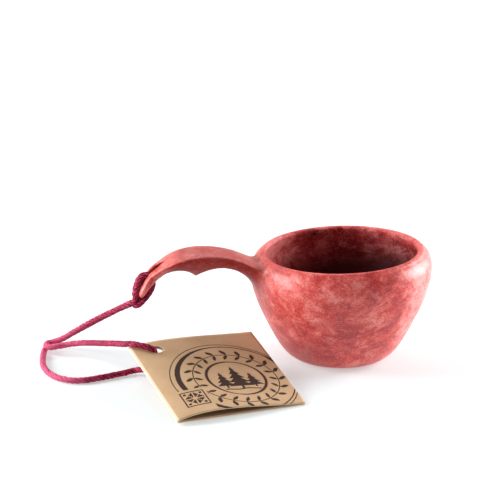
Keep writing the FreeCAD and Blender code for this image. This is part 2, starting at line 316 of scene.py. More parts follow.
def moulding_material():
    """Satin wood-fibre composite: coral red, marbled with pink and maroon, with fine light flecks."""
    g = Graph("marbled_composite")
    here = g.coordinates()
    x, y, z = g.parts(here)
    hollow, crown = g.attribute("inside"), g.attribute("crown")
    off_crown = g.sub(1.0, crown)
    layered = g.placed(here, (1.0, 1.0, 1.3))
    drift = g.noise(layered, 34.0, 3.0, 0.6, output="Color")
    bent = g.shifted(layered, drift, 0.008)
    broad = g.noise(bent, 66.0, 5.0, 0.64, 0.3)
    patch = g.noise(bent, 140.0, 8.0, 0.76, 0.25)
    grain = g.noise(here, 1150.0, 4.0, 0.7)

    # the tone: marbling, with painted light to the right and at the upper left where the side softboxes fall,
    # painted light on the hollow's left wall and painted shade on its right, and a little lighter at the foot
    tone = g.add(g.mul(broad, 0.35), g.add(g.mul(patch, 0.46), g.mul(grain, 0.19)))
    right = g.mul(g.step(x, 0.016, 0.036), g.step(z, 0.0, 0.014))
    left = g.mul(g.step(x, -0.008, -0.030), g.step(z, 0.022, 0.038))
    tone = g.add(tone, g.add(g.mul(right, 0.075), g.mul(left, 0.05)))
    lit_and_shaded_below_lip = g.mul(hollow, g.step(z, 0.057, 0.051))
    tone = g.add(tone, g.mul(lit_and_shaded_below_lip, g.step(x, 0.034, -0.012, -0.06, 0.055)))
    tone = g.add(tone, g.step(z, 0.014, 0.004, 0.0, 0.04))
    outside = g.ramp(
        g.step(tone, 0.37, 0.63),
        [
            (0.00, (158, 44, 46)),
            (0.28, (188, 54, 52)),
            (0.52, (209, 68, 62)),
            (0.76, (224, 90, 82)),
            (1.00, (236, 132, 126)),
        ],
    )
    # painted shade: the hollow's ramp is a darker copy of the outside's, for the shade inside the bowl
    inside = g.ramp(
        g.step(tone, 0.38, 0.64),
        [(0.00, (116, 18, 22)), (0.34, (166, 46, 48)), (0.66, (200, 80, 80)), (1.00, (220, 122, 120))],
    )
    colour = g.mix(hollow, outside, inside)

    # feathery light clouds, where the two colours of resin did not mix, and duller ones
    cloud = g.mul(g.step(g.noise(bent, 84.0, 8.0, 0.82, 0.1), 0.52, 0.60), g.step(patch, 0.44, 0.58))
    colour = g.tinted(colour, cloud, 0.50, (246, 158, 152))
    # painted light: pale patches on the right side where the right softbox falls, fading out below the lip
    pale = g.mul(g.mul(right, g.step(z, 0.054, 0.045)), g.step(patch, 0.42, 0.58, 0.06, 0.46))
    colour = g.tinted(colour, pale, 1.0, (250, 182, 178))
    dusk = g.step(g.noise(g.shifted(here, drift, 0.012), 80.0, 5.0, 0.66, 0.4), 0.54, 0.70)
    colour = g.tinted(colour, dusk, 0.26, (154, 48, 54))

    # thin wandering veins, dark and pink
    dark_vein = g.absolute(g.sub(g.noise(bent, 62.0, 6.0, 0.66, 0.6), 0.5))
    colour = g.tinted(colour, g.step(dark_vein, 0.026, 0.002), 0.42, (166, 34, 36))
    pink_vein = g.absolute(g.sub(g.noise(bent, 96.0, 7.0, 0.70, 0.8), 0.47))
    colour = g.tinted(colour, g.step(pink_vein, 0.020, 0.002), 0.36, (250, 154, 150))

    # painted shade: the grip's up-facing crown is duller, its sides, which face down into shade, a deeper
    # red, and the slot's walls, shaded inside the slot, darker still
    grip_crown_shade = g.mul(g.band(x, *GRIP_TOP), crown)
    colour = g.tinted(colour, grip_crown_shade, 0.48, (140, 72, 68))
    shaded_flank = g.mul(g.band(x, *GRIP_SIDES), off_crown)
    colour = g.tinted(colour, shaded_flank, 0.76, (126, 7, 4))
    slot_shade = g.mul(g.mul(g.band(x, *SLOT_LENGTH), g.step(g.absolute(y), *SLOT_HALF_WIDTH)), off_crown)
    colour = g.tinted(colour, slot_shade, 0.75, (110, 8, 14))

    # light and dark fibres, and tiny bright flecks
    fibre = g.noise(g.placed(bent, (1.0, 1.0, 1.6)), 520.0, 5.0, 0.78, 0.3)
    colour = g.tinted(colour, g.step(fibre, 0.55, 0.70), 0.42, (246, 150, 140))
    colour = g.tinted(colour, g.step(fibre, 0.45, 0.30), 0.36, (134, 40, 44))
    fleck = g.mul(g.step(g.cells(here, 330.0), 0.13, 0.05), g.step(g.noise(here, 240.0, 1.0), 0.62, 0.68))
    colour = g.tinted(colour, fleck, 0.85, (252, 206, 178))

    # painted shade: darker low on the grip's side of the bowl, in the tag's shadow, and deep inside the
    # hollow, where little light reaches
    foot = g.mul(g.step(x, -0.002, -0.024), g.mul(g.step(z, 0.026, 0.010), g.sub(1.0, hollow)))
    colour = g.tinted(colour, foot, 0.62, (140, 28, 30))
    level = g.sub(z, g.mul(x, 0.22))
    colour = g.tinted(colour, g.mul(hollow, g.step(level, 0.053, 0.030)), 0.95, (48, 3, 5))

    satin = g.add(g.step(patch, 0.3, 0.7, 0.29, 0.40), g.add(g.mul(grain, 0.10), g.mul(hollow, 0.14)))
    g.set(
        Base_Color=colour,
        Roughness=satin,
        Specular_IOR_Level=g.step(g.add(hollow, g.mul(shaded_flank, 0.6)), 0.0, 1.0, 0.42, 0.10),
        Coat_Weight=g.step(hollow, 0.0, 1.0, 0.06, 0.0),
        Coat_Roughness=0.25,
    )
    relief = g.add(g.mul(grain, 0.6), g.mul(fibre, 0.4))
    g.set(Normal=g.bump(relief, 0.00006, 0.6, g.bump(patch, 0.00022, 0.45)))
    return g.material


def cord_material():
    """Twisted yarn in cherry red, with fine filaments: lighter on the plies' crowns and with painted shade in
    the grooves between them.
    """
    g = Graph("cherry_yarn")
    along, round_ply, _ = g.parts(g.uv("yarn"))
    strand = g.joined(g.mul(along, 0.9), g.add(g.mul(round_ply, 9.0), g.mul(along, 0.75)))
    filament = g.noise(strand, 5.0, 5.0, 0.7)
    tuft = g.noise(g.joined(g.mul(along, 0.6), g.mul(round_ply, 2.0)), 1.4, 3.0)
    tone = g.add(g.mul(g.attribute("crown"), 0.40), g.add(g.mul(filament, 0.62), g.mul(tuft, 0.80)))
    colour = g.ramp(
        g.step(tone, 0.74, 1.34),
        [
            (0.0, (48, 0, 14)),
            (0.32, (108, 4, 34)),
            (0.56, (156, 16, 60)),
            (0.78, (196, 46, 94)),
            (1.0, (236, 122, 158)),
        ],
    )
    # painted light: paler where it turns back, at the far left, where the left softbox lights it
    x, _, _ = g.parts(g.coordinates())
    colour = g.tinted(colour, g.step(x, -0.122, -0.146), 0.62, (234, 104, 144))
    g.set(
        Base_Color=colour,
        Roughness=0.6,
        Specular_IOR_Level=0.22,
        Sheen_Weight=0.06,
        Sheen_Roughness=0.45,
        Sheen_Tint=(1.0, 0.62, 0.74, 1.0),
    )
    g.set(Normal=g.bump(filament, 0.00016, 0.8))
    return g.material


# ---------------------------------------------------------------- the card's print and material

TAG_SIDE = 66.0
# The print is placed in millimetres from the fold and from the near edge.
BADGE = (40.2, 25.3)
BRUSHED_RING, THIN_RING, INNER_RING = 28.9, 31.4, 14.8
WREATH = 21.4
LEAF_PAIRS = 20
SPRUCES = (  # from the badge's middle: place, foot; then height, width, tiers
    (0.4, -7.2, 18.0, 6.4, 5.0),
    (-7.4, -6.4, 12.6, 4.6, 4.0),
    (7.8, -6.6, 11.2, 4.4, 4.0),
)
STAR = (13.2, 12.4)
STAR_CELL = 0.72
INK_EDGE = 0.09  # how softly a ring ends

KRAFT = ((184, 149, 113), (201, 166, 128), (215, 182, 145))
# painted shade: the inner leaf's kraft is a darker copy of the card, for the shade between the leaves
KRAFT_SHADED_INNER = ((136, 106, 80), (152, 121, 94), (168, 137, 108))


def ring(g, radius, middle, half_width):
    off = g.absolute(g.sub(radius, middle))
    return g.step(off, g.add(half_width, INK_EDGE), g.sub(half_width, INK_EDGE))


def rings(g, radius, angle):
    """A brushed ring that swells on two sides, a thin one off centre round it, and one inside the wreath."""
    dry = g.sub(g.noise(g.joined(g.mul(angle, 2.0), g.mul(radius, 0.5)), 9.0, 4.0, 0.75), 0.5)
    near_swell = g.math("POWER", g.step(g.math("COSINE", g.sub(angle, 3.2)), -0.2, 1.0), 1.3)
    far_swell = g.step(g.math("COSINE", g.sub(angle, 0.25)), 0.9, 1.0)
    brushed = g.add(g.add(0.34, g.most(near_swell, far_swell)), g.mul(dry, 0.9))
    off_centre = g.add(radius, g.mul(g.math("COSINE", g.sub(angle, 3.3)), -1.3))
    thin = g.add(0.26, g.mul(dry, 0.4))
    inner_swell = g.absolute(g.math("SINE", g.sub(angle, 1.2)))
    inner = g.add(g.add(0.3, g.mul(inner_swell, 0.45)), g.mul(dry, 0.5))
    ink = g.most(ring(g, radius, BRUSHED_RING, brushed), ring(g, off_centre, THIN_RING, thin))
    return g.most(ink, ring(g, radius, INNER_RING, inner))


def wreath(g, radius, angle):
    """A thin round stem, with pairs of slanting leaves at equal steps along it."""
    turns = g.add(g.mul(angle, LEAF_PAIRS / (2 * math.pi)), 100.0)  # kept above zero for FRACT
    cell = g.sub(g.math("FRACT", turns), 0.5)
    along = g.mul(cell, 2 * math.pi * WREATH / LEAF_PAIRS)
    ink = ring(g, radius, WREATH, 0.28)
    for side in (1.0, -1.0):
        out = g.mul(g.sub(radius, WREATH), side)
        off_midrib = g.absolute(g.sub(along, g.mul(out, 0.45)))
        off_middle = g.absolute(g.mul(g.sub(out, 2.3), 1.0 / 2.2))
        half_width = g.mul(g.sub(1.0, g.math("POWER", off_middle, 2.0)), 1.15)
        ink = g.most(ink, g.step(g.sub(half_width, off_midrib), -0.05, 0.09))
    return ink


def spruce(g, x, y, place, foot, height, width, tiers):
    """A tree of stacked tiers on a short trunk."""
    across = g.absolute(g.sub(x, place))
    up = g.mul(g.sub(y, foot), 1.0 / height)
    tier = g.math("FRACT", g.mul(up, tiers))
    edge = g.mul(g.mul(g.sub(1.0, up), width), g.sub(1.15, g.mul(tier, 0.62)))
    tree = g.mul(g.step(g.sub(edge, across), -0.07, 0.07), g.band(up, (0.0, 0.02), (0.98, 1.0)))
    half = 0.07 * width
    trunk = g.mul(g.step(across, half + 0.28, half + 0.14), g.band(up, (-0.16, -0.14), (0.06, 0.1)))
    return g.most(tree, trunk)


def printed_badge(g, x, y):
    """Brown ink: brushed rings, a wreath of leaves, and three spruces on a wavy line in the middle."""
    dx, dy = g.sub(x, BADGE[0]), g.sub(y, BADGE[1])
    radius = g.math("SQRT", g.add(g.mul(dx, dx), g.mul(dy, dy)))
    angle = g.math("ARCTAN2", dy, dx)
    ink = g.most(rings(g, radius, angle), wreath(g, radius, angle))
    clear_of_star = g.most(g.step(x, 20.4, 20.9), g.step(y, 20.0, 20.5))
    ink = g.mul(ink, clear_of_star)
    for tree in SPRUCES:
        ink = g.most(ink, spruce(g, dx, dy, *tree))
    ground = g.add(-9.6, g.mul(g.math("SINE", g.mul(dx, 0.55)), 0.35))
    line = g.step(g.absolute(g.sub(dy, ground)), 0.5, 0.36)
    return g.most(ink, g.mul(line, g.step(g.absolute(dx), 9.6, 9.0)))


def printed_star(g, x, y):
    """A knitted star: eight petals of small square cells in a plain frame, with a block in each corner."""

    def cells_from_middle(place, middle):
        return g.math("FLOOR", g.add(g.absolute(g.mul(g.sub(place, middle), 1.0 / STAR_CELL)), 0.5))

    across, up = cells_from_middle(x, STAR[0]), cells_from_middle(y, STAR[1])
    near, far = g.least(across, up), g.most(across, up)
    petal = g.mul(g.math("GREATER_THAN", near, 0.5), g.math("GREATER_THAN", g.sub(far, near), 0.5))
    petal = g.mul(petal, g.math("LESS_THAN", g.add(near, far), 7.5))
    corner = g.mul(g.math("GREATER_THAN", near, 4.5), g.math("LESS_THAN", far, 6.5))
    frame_line = g.math("COMPARE", far, 8.0, 0.1)
    return g.most(g.most(petal, corner), frame_line)


def card_material(name, tones=KRAFT, printed=False):
    """Kraft card: tan, with long pale and dark fibres, and painted highlights where it is folded or cut."""
    g = Graph(name)
    u, v, _ = g.parts(g.uv("leaf"))
    x, y = g.mul(u, TAG_SIDE), g.mul(v, TAG_SIDE)
    paper = g.joined(x, y)
    cloud = g.noise(paper, 0.09, 3.0, 0.5)
    pulp = g.noise(paper, 1.5, 6.0, 0.72)
    dark_fibre = g.noise(g.placed(paper, (0.25, 3.4, 1.0), 0.5), 2.1, 3.0, 0.6, 0.7)
    pale_fibre = g.noise(g.placed(paper, (3.0, 0.3, 1.0), 0.35), 2.0, 3.0, 0.6, 0.7)
    colour = g.ramp(g.add(g.mul(pulp, 0.6), g.mul(cloud, 0.4)), list(zip((0.30, 0.5, 0.72), tones)))
    colour = g.tinted(colour, g.step(dark_fibre, 0.64, 0.74), 0.5, (160, 114, 78))
    colour = g.tinted(colour, g.step(pale_fibre, 0.64, 0.74), 0.5, (232, 200, 164))
    if printed:
        wobble = g.noise(paper, 1.3, 3.0, 0.6, output="Color")
        rough_x, rough_y, _ = g.parts(g.shifted(paper, wobble, 0.13))
        ink = g.most(printed_badge(g, rough_x, rough_y), printed_star(g, x, y))
        ink = g.mul(ink, g.step(pulp, 0.26, 0.36, 0.72, 0.97))
        colour = g.mix(g.mul(ink, g.attribute("front")), colour, linear(46, 28, 27))
    # painted highlights: pale along the fold and on the cut edges, where they catch the light
    colour = g.tinted(colour, g.step(x, 0.75, 0.1), 0.8, (238, 222, 202))
    colour = g.tinted(colour, g.attribute("cut"), 0.65, (228, 204, 176))
    g.set(Base_Color=colour, Roughness=0.78, Specular_IOR_Level=0.28)
    relief = g.add(g.mul(pulp, 0.6), g.add(g.mul(dark_fibre, 0.2), g.mul(pale_fibre, 0.2)))
    g.set(Normal=g.bump(relief, 0.00005, 0.6))
    return g.material


# ---------------------------------------------------------------- mesh helpers


def mesh_object(name, vertices, faces, material):
    mesh = bpy.data.meshes.new(name)
    mesh.from_pydata(np.asarray(vertices, dtype=float).tolist(), [], faces)
    mesh.validate()
    mesh.polygons.foreach_set("use_smooth", [True] * len(mesh.polygons))
    mesh.materials.append(material)
    return linked(name, mesh)


def mark(mesh, name, domain, values):
    """Gives the mesh a named number for each of its points or faces, for its material to read."""
    attribute = mesh.attributes.new(name, "FLOAT", domain)
    attribute.data.foreach_set("value", np.asarray(values, dtype=np.float32))


def lay_uv(mesh, name, places):
    """Gives the mesh a UV layer, from two numbers for each vertex."""
    corners = np.empty(len(mesh.loops), dtype=int)
    mesh.loops.foreach_get("vertex_index", corners)
    layer = mesh.uv_layers.new(name=name)
    layer.data.foreach_set("uv", places[corners].astype(np.float32).ravel())


def finish_modifiers(obj):
    """Applies obj's modifiers."""
    graph = bpy.context.evaluated_depsgraph_get()
    mesh = bpy.data.meshes.new_from_object(obj.evaluated_get(graph), depsgraph=graph)
    obj.modifiers.clear()
    obj.data = mesh


def coordinates(mesh):
    values = np.empty(3 * len(mesh.vertices))
    mesh.vertices.foreach_get("co", values)
    return values.reshape(-1, 3)


def eased(share):
    share = np.clip(share, 0.0, 1.0)
    return share * share * (3 - 2 * share)


# ---------------------------------------------------------------- the tag's own frame

TAG_CORNER = np.array([-98.6, -82.6, 2.3])
TAG_TURN, TAG_ROLL, TAG_TILT = 12.2, 0.9, 14.4
LEAF_THICKNESS = 0.35
LEAF_GAP = 0.05
HOLE = (11.6, 58.2)
HOLE_RADIUS = 3.0

# The cover's bow: its lift at the near and the far edge, the share of the way across where it is highest,
# and how it starts, rises and falls.
LIFT_NEAR, LIFT_FAR = 3.4, 2.0
BOW_PEAK = 0.31
BOW_START = 0.012
BOW_RISE, BOW_FALL = 0.75, 1.67

# The knot pushes the leaves up round the hole: by how much of the cover's lift, and how far round it.
PUSH = 0.9
PUSH_REACH = 6.0


def turned(axis, degrees):
    """The matrix of a turn about X, Y or Z, which are axis 0, 1 and 2."""
    c, s = math.cos(math.radians(degrees)), math.sin(math.radians(degrees))
    i, j = [k for k in range(3) if k != axis]
    matrix = np.eye(3)
    matrix[i, i] = matrix[j, j] = c
    matrix[i, j], matrix[j, i] = (-s, s) if axis != 1 else (s, -s)
    return matrix


TAG_AXES = turned(2, TAG_TURN) @ turned(1, TAG_ROLL) @ turned(0, TAG_TILT)
TAG_NORMAL = TAG_AXES[:, 2]


def on_tag(u, v, n):
    """The point u from the fold, v from the near edge and n off the leaves, in metres."""
    return (TAG_CORNER + TAG_AXES @ np.array([u, v, n])) * MM


def cover_lift(u, v):
    """How far the cover stands off the other leaves."""
    share = min(max(u / TAG_SIDE, 0.0), 1.0)
    share = share * share / (share + BOW_START)
    height = LIFT_NEAR + (LIFT_FAR - LIFT_NEAR) * v / TAG_SIDE
    return height * (share / BOW_PEAK) ** BOW_RISE * (max(1 - share, 0.0) / (1 - BOW_PEAK)) ** BOW_FALL


def pushed_up(u, v):
    """How far the knot pushes the leaves under the cover up to it, round the hole."""
    away = math.hypot(u - HOLE[0], v - HOLE[1])
    return PUSH * cover_lift(u, v) * math.exp(-0.5 * (away / PUSH_REACH) ** 2)


# ---------------------------------------------------------------- the cord

PLIES = 5
PLY_SIDES = 8
PLY_RADIUS = 0.80
PLY_ORBIT = 0.80  # how far a ply's middle lies from the cord's
TWIST_PITCH = 13.0

# The strand that comes back over the tag's corner and goes down through its hole.
UPPER_ROUTE = [
    (-106.6, -1.4, 35.4), (-110.2, 2.2, 32.9), (-115.0, 9.4, 28.4), (-120.4, 17.6, 22.9),
    (-126.6, 25.6, 16.8), (-132.6, 31.2, 11.3), (-138.2, 34.4, 6.8), (-142.8, 35.8, 5.0),
    (-146.0, 35.6, 4.6), (-147.6, 32.6, 4.5), (-145.8, 29.3, 4.4), (-141.8, 28.2, 5.0),
    (-137.0, 27.6, 5.9), (-131.6, 22.8, 8.0), (-126.2, 14.4, 10.5), (-121.2, 4.0, 13.4),
    (-117.0, -7.0, 16.7), (-114.6, -15.6, 19.1), (-112.4, -20.6, 20.8), (-109.2, -24.0, 21.4),
    (-106.0, -26.3, 21.0), (-102.8, -27.1, 20.2), (-100.8, -26.8, 18.9), (-99.9, -25.5, 16.6),
    (-100.0, -24.4, 13.4), (-99.8, -23.2, 9.6),
]

# The strand that runs round on the surface and in under the tag.
LOWER_ROUTE = [
    (-105.8, 1.9, 35.0), (-109.4, 6.0, 32.2), (-114.0, 13.3, 27.0), (-119.4, 21.5, 21.4),
    (-125.7, 29.1, 15.3), (-131.7, 35.1, 10.0), (-137.0, 39.2, 5.6), (-142.0, 41.0, 2.5),
    (-146.0, 38.6, 1.7), (-148.4, 31.8, 1.7), (-150.0, 22.6, 1.7), (-151.3, 13.2, 1.7),
    (-151.2, 4.8, 1.7), (-149.6, -3.2, 1.7), (-146.2, -10.2, 1.7), (-141.1, -14.8, 1.7),
    (-134.9, -16.5, 1.7), (-128.0, -15.0, 1.7), (-120.8, -12.6, 1.7), (-113.6, -10.2, 1.7),
    (-107.4, -8.0, 2.1), (-103.2, -14.2, 4.6), (-100.2, -19.8, 5.6),
]

# The hitch goes from the upper strand up the outside of the tip, in at the slot and down to the collar round
# both strands, then back the same way on the other side to the lower strand. This is that second half.
HITCH_HALF = [
    (-105.4, 1.9, 33.8), (-104.2, 2.7, 34.5), (-102.4, 2.7, 35.9), (-100.2, 2.3, 37.9), (-98.2, 1.8, 40.1),
    (-96.8, 1.4, 42.4), (-96.2, 1.3, 44.9), (-96.6, 1.2, 47.3), (-98.1, 1.15, 48.9), (-99.8, 1.15, 49.3),
    (-101.2, 1.15, 48.9), (-102.5, 1.2, 48.0), (-103.6, 1.2, 46.2), (-104.4, 1.3, 43.8), (-105.1, 1.35, 41.2),
    (-105.2, 1.4, 38.6), (-104.8, 1.45, 36.6),
]
HITCH_OTHER_HALF = [(x, -y, z) for x, y, z in reversed(HITCH_HALF)]
HITCH_ROUTE = [UPPER_ROUTE[0]] + HITCH_OTHER_HALF + [(-105.6, 0.0, 33.5)] + HITCH_HALF + [LOWER_ROUTE[0]]

KNOT_PLACE = np.array([-99.2, -22.6, 0.0])
TREFOIL_HEIGHT, TREFOIL_SCALE = 4.6, (1.18, 1.18, 2.4)
WRAP_RADIUS, WRAP_OFFSET, WRAP_HEIGHT, WRAP_RISE = 2.2, -1.0, 8.2, 0.36
TAIL_HEADINGS = (-35.0, 15.0)
# A tail's points: how far along its heading, how far to its side, and how high.
TAIL_ROUTE = ((1.5, 0.0, 3.4), (4.5, 0.3, 2.0), (7.5, 0.9, 1.7), (11.0, 0.4, 2.0))
FRAYED_FROM = 0.72  # the share of a tail where its plies start to part


def spline_line(route):
    """The points of the smooth curve that takes the route as its control points, in metres."""
    curve = bpy.data.curves.new("route", "CURVE")
    curve.dimensions = "3D"
    curve.resolution_u = 16
    spline = curve.splines.new("NURBS")
    spline.points.add(len(route) - 1)
    for point, (x, y, z) in zip(spline.points, route):
        point.co = (x * MM, y * MM, z * MM, 1.0)
    spline.order_u = 3
    spline.use_endpoint_u = True
    holder = bpy.data.objects.new("route", curve)
    line = coordinates(bpy.data.meshes.new_from_object(holder))
    bpy.data.objects.remove(holder)
    return line


def carried_frames(line):
    """Two cross directions at each point, carried along the line without twisting."""
    step = np.gradient(line, axis=0)
    tangents = step / np.linalg.norm(step, axis=1)[:, None]
    first = np.cross(tangents[0], (0.0, 0.0, 1.0))
    normals = [first / np.linalg.norm(first)]
    for tangent in tangents[1:]:
        carried = normals[-1] - tangent * normals[-1].dot(tangent)
        normals.append(carried / np.linalg.norm(carried))
    normals = np.array(normals)
    return normals, np.cross(tangents, normals)


def arc_lengths(line):
    """Millimetres along the line, at each of its points."""
    return np.concatenate([[0.0], np.cumsum(np.linalg.norm(np.diff(line, axis=0), axis=1))]) / MM


def yarn(name, line, frames, arc, material, orbit=PLY_ORBIT, ply=PLY_RADIUS):
    """Plies twisted round a line. Their orbit and radius are in millimetres, for all or for each point."""
    count = len(line)
    orbit, ply = (np.broadcast_to(size, count) for size in (orbit, ply))
    normals, binormals = frames
    ring_angle = np.arange(PLY_SIDES) * 2 * math.pi / PLY_SIDES
    cosines, sines = np.cos(ring_angle)[:, None], np.sin(ring_angle)[:, None]
    vertices, faces = [], []
    for k in range(PLIES):
        # each ply strays from its even twist, and swells and thins, by slow waves of its own
        stray = 0.05 * np.sin(arc * 1.9 + 2.1 * k) + 0.05 * np.sin(arc * 0.77 + 4.0 * k)
        phase = 2 * math.pi * (arc / TWIST_PITCH + k / PLIES) + 2 * stray
        cosine, sine = np.cos(phase)[:, None], np.sin(phase)[:, None]
        outward = normals * cosine + binormals * sine
        sideways = -normals * sine + binormals * cosine
        middle = line + outward * orbit[:, None] * MM
        radius = (ply * (1 + stray) * MM)[:, None, None]
        vertices.append(middle[:, None] + (outward[:, None] * cosines + sideways[:, None] * sines) * radius)
        base = k * count * PLY_SIDES
        for i in range(count - 1):
            for j in range(PLY_SIDES):
                p, q = (base + i * PLY_SIDES + corner % PLY_SIDES for corner in (j, j + 1))
                faces.append((p, q, q + PLY_SIDES, p + PLY_SIDES))
        faces.append(tuple(base + j for j in range(PLY_SIDES))[::-1])
        faces.append(tuple(base + (count - 1) * PLY_SIDES + j for j in range(PLY_SIDES)))
    obj = mesh_object(name, np.concatenate(vertices).reshape(-1, 3), faces, material)
    # crown: 1 on each ply's outside and 0 where the plies meet, for the painted shade in the grooves
    mark(obj.data, "crown", "POINT", np.tile(0.5 + 0.5 * np.cos(ring_angle), count * PLIES))
    along = np.tile(np.repeat(arc, PLY_SIDES), PLIES)
    around = np.tile(ring_angle / (2 * math.pi), count * PLIES)
    lay_uv(obj.data, "yarn", np.stack([along, around], axis=1))
    return obj


def build_end_knot(material):
    """The overhand knot under the tag: a trefoil of cord, two wraps above it and two frayed tails."""
    pieces = []

    def tie(name, line, **sizes):
        pieces.append(yarn(name, line, carried_frames(line), arc_lengths(line), material, **sizes))

    t = np.linspace(0.0, 2 * math.pi, 90)
    trefoil = np.stack([np.sin(t) + 2 * np.sin(2 * t), np.cos(t) - 2 * np.cos(2 * t), -np.sin(3 * t)], axis=1)
    tie("cord_end_knot_body", (KNOT_PLACE + [0, 0, TREFOIL_HEIGHT] + trefoil * TREFOIL_SCALE) * MM)
    t = np.linspace(0.0, 4.4 * math.pi, 80)
    round_knot = (WRAP_RADIUS * np.cos(t) + WRAP_OFFSET, WRAP_RADIUS * np.sin(t), WRAP_HEIGHT + WRAP_RISE * t)
    tie("cord_end_knot_wraps", (KNOT_PLACE + np.stack(round_knot, axis=1)) * MM)
    for number, heading in enumerate(TAIL_HEADINGS, start=1):
        way = np.array([math.cos(math.radians(heading)), math.sin(math.radians(heading)), 0.0])
        side = np.array([-way[1], way[0], 0.0])
        route = [KNOT_PLACE + way * far + side * off + [0, 0, high] for far, off, high in TAIL_ROUTE]
        line = spline_line(route)
        share = np.linspace(0.0, 1.0, len(line))
        frayed = np.clip((share - FRAYED_FROM) / (1 - FRAYED_FROM), 0.0, 1.0) ** 1.5
        orbit, ply = PLY_ORBIT + 0.75 * frayed, PLY_RADIUS * (1 - 0.55 * frayed)
        tie("cord_tail_%d" % number, line, orbit=orbit, ply=ply)
    for piece in pieces[1:]:
        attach(piece, "cup")
    return pieces[0]


def build_cord():
    material = cord_material()
    upper, hitch, lower = (spline_line(route) for route in (UPPER_ROUTE, HITCH_ROUTE, LOWER_ROUTE))
    whole = np.concatenate([upper[::-1], hitch[1:], lower[1:]])
    frames, arc = carried_frames(whole), arc_lengths(whole)
    at_hitch, at_lower = len(upper) - 1, len(upper) + len(hitch) - 2
    # the upper strand ends at the cover's hole, where it comes down to the cover's underside
    height = (whole / MM - TAG_CORNER) @ TAG_NORMAL
    through = cover_lift(*HOLE) - LEAF_THICKNESS
    at_hole = int(np.argmax(height[: len(upper)] > through))

    # in the hitch, the slot and the collar squeeze the cord thinner
    out, up = -whole[:, 0] / MM, whole[:, 2] / MM
    snug = np.interp(out, (100.0, 103.0), (0.82, 1.0)) * np.interp(up, (34.5, 36.5), (0.88, 1.0))
    snug[:at_hitch] = 1.0
    snug[at_lower + 1 :] = 1.0

    def stretch(name, first, last):
        part = slice(first, last + 1)
        sides = tuple(side[part] for side in frames)
        sizes = {"orbit": PLY_ORBIT * snug[part], "ply": PLY_RADIUS * snug[part]}
        return yarn(name, whole[part], sides, arc[part], material, **sizes)

    drop = stretch("cord_through_hole", 0, at_hole)
    strand = stretch("cord_upper", at_hole, at_hitch)
    knot = stretch("cord_hitch_loop", at_hitch, at_lower)
    lower_strand = stretch("cord_lower", at_lower, len(whole) - 1)
    end_knot = build_end_knot(material)

    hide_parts("cord_upper_strand")
    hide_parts("cord_hitch")
    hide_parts("cord_lower_strand")
    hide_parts("cord_end_knot")
    for piece in (knot, lower_strand, end_knot):
        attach(piece, "cup")
    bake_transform(strand)
    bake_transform(drop)


build_cord()

# ---------------------------------------------------------------- the cup

VOXEL = 0.65
SOFTENING_ROUNDS = 4
FILLET_ROUNDS = 70

# The bowl's radii by height, inside and outside, as in the part's source.
INNER_RADII = (
    (5.4, 0.0), (7.6, 21.1), (15.2, 32.1), (27.1, 38.8),
    (39.5, 42.0), (46.8, 41.8), (55.1, 38.8), (57.0, 38.0),
)
OUTER_RADII = (
    (0.0, 21.5), (3.1, 27.4), (10.2, 32.9), (22.6, 39.4),
    (37.2, 45.3), (45.1, 46.6), (50.2, 46.1), (53.6, 44.5), (56.4, 41.0),
)

# How far the moulding is off true. The bowl is shifted one way and leans that way at its lip, and the lip is
# lifted all round, more towards the lean and less towards the side where it is low.
LEAN_WAY = np.array([0.977, -0.21])
LOW_WAY = np.array([-0.256, -0.967])
BOWL_REACH = 45.0
BOWL_SHIFT, LIP_LEAN = 0.45, 0.7
LIP_LIFT, LEAN_LIFT, LOW_DROP = 0.25, 1.4, 0.85


def radius_at(table, height):
    heights, radii = zip(*table)
    return np.interp(height, heights, radii)


def relax(mesh, points, weights, rounds):
    """Moves each vertex towards its neighbours' middle, by its weight, rounds times."""
    edges = np.empty(2 * len(mesh.edges), dtype=int)
    mesh.edges.foreach_get("vertices", edges)
    a, b = edges.reshape(-1, 2).T
    count = len(points)
    degree = np.bincount(edges, minlength=count)[:, None]
    for _ in range(rounds):
        total = np.zeros_like(points)
        for axis in range(3):
            total[:, axis] = np.bincount(a, points[b, axis], count)
            total[:, axis] += np.bincount(b, points[a, axis], count)
        points = points + weights[:, None] * (total / degree - points)
    return points


def fillet_share(points):
    """How much each point belongs to the fillet where the grip grows out of the bowl."""
    x, y, z = points.T
    off_bowl = np.hypot(x, y) - radius_at(OUTER_RADII, z)
    # close to the bowl's outside and to the grip's middle plane, on the grip's side, from 28 mm up to the lip
    near = np.exp(-((off_bowl - 1.0) / 5.0) ** 2) * np.exp(-(y / 17.0) ** 4)
    near *= (x < -20.0) & (off_bowl > -2.2)
    near *= np.clip((z - 28.0) / 6.0, 0, 1) * np.clip((55.0 - z) / 2.5, 0, 1)
    return np.clip(1.4 * near, 0, 1)


def inside_share(points):
    """1 on the bowl's inner wall and floor and 0 outside it, eased over the lip."""
    radius, z = np.hypot(points[:, 0], points[:, 1]), points[:, 2]
    # lower down, what is well inside the outer wall and off the base; at the lip, what is near the inner wall
    deep = np.clip((radius_at(OUTER_RADII, z) - 1.8 - radius) / 0.8, 0, 1) * (z > 4.0)
    lip = np.clip((radius_at(INNER_RADII, z) + 1.8 - radius) / 1.6, 0, 1)
    return np.where(z < 40.0, deep, lip)


